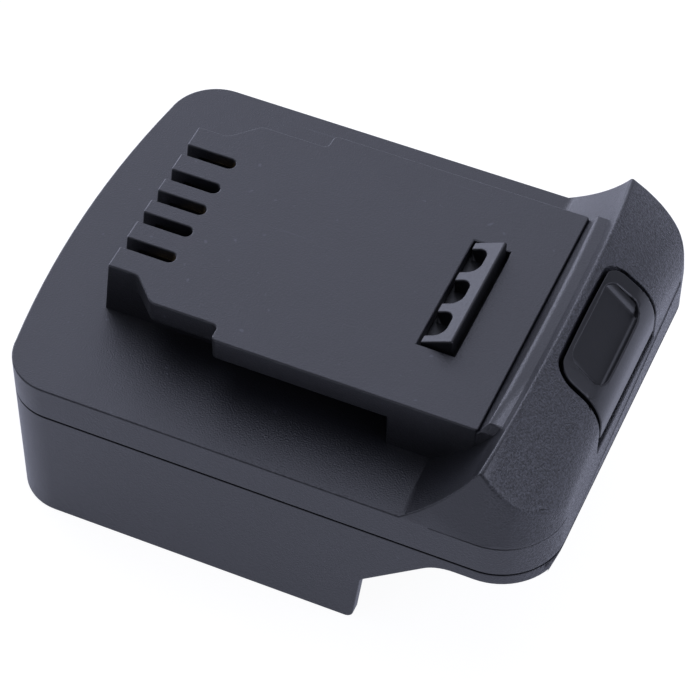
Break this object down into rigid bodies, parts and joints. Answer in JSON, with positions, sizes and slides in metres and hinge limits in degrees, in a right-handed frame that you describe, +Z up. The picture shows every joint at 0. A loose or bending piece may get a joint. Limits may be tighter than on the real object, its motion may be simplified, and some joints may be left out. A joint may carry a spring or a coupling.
{
  "type": "tool battery adapter",
  "caption": "Slide-on adapter that lets a cordless tool take a different slide battery: slotted contact plate and sprung latch on top, battery bay underneath.",
  "frame": {"origin": "middle of the bounding box in plan, at the rim of the battery skirt", "axes": "+X from the slotted end towards the thumb button, +Z up through the contact plate, +Y across the body"},
  "size_m": [0.1, 0.076, 0.0515],
  "materials": {
    "shell": "fine spark-eroded texture",
    "latch": "fine satin",
    "steel": "zinc plated",
    "nylon": "moulded satin",
    "contact_brass": "bright stamped sheet",
    "board": "solder resist",
    "chip": "moulded",
    "resistor": "lacquered",
    "lead_red": "soft insulation",
    "lead_black": "soft insulation",
    "lead_yellow": "soft insulation"
  },
  "bodies": {
    "housing": {"upper_shell": "shell", "lower_shell": "shell", "latch_springs": "steel", "contact_carrier": "nylon", "tool_contact_positive": "contact_brass", "tool_contact_negative": "contact_brass", "tool_contact_signal": "contact_brass", "carrier_screws": "steel", "terminal_block": "nylon", "battery_blade_positive": "contact_brass", "battery_blade_negative": "contact_brass", "battery_blade_signal": "contact_brass", "block_screws": "steel", "circuit_board": "board", "board_chip": "chip", "board_resistors": "resistor", "board_screws": "steel", "positive_lead": "lead_red", "negative_lead": "lead_black", "signal_leads": "lead_yellow", "shell_screws": "steel"},
    "latch": {"release_latch": "latch"}
  },
  "joints": [
    {"name": "latch_press", "type": "slide", "parent": "housing", "child": "latch", "axis": [0, 0, -1], "range_m": [0, 0.0028], "stiffness_N_per_m": 800, "springref_m": -0.004, "deforming": ["latch_springs"]}
  ]
}
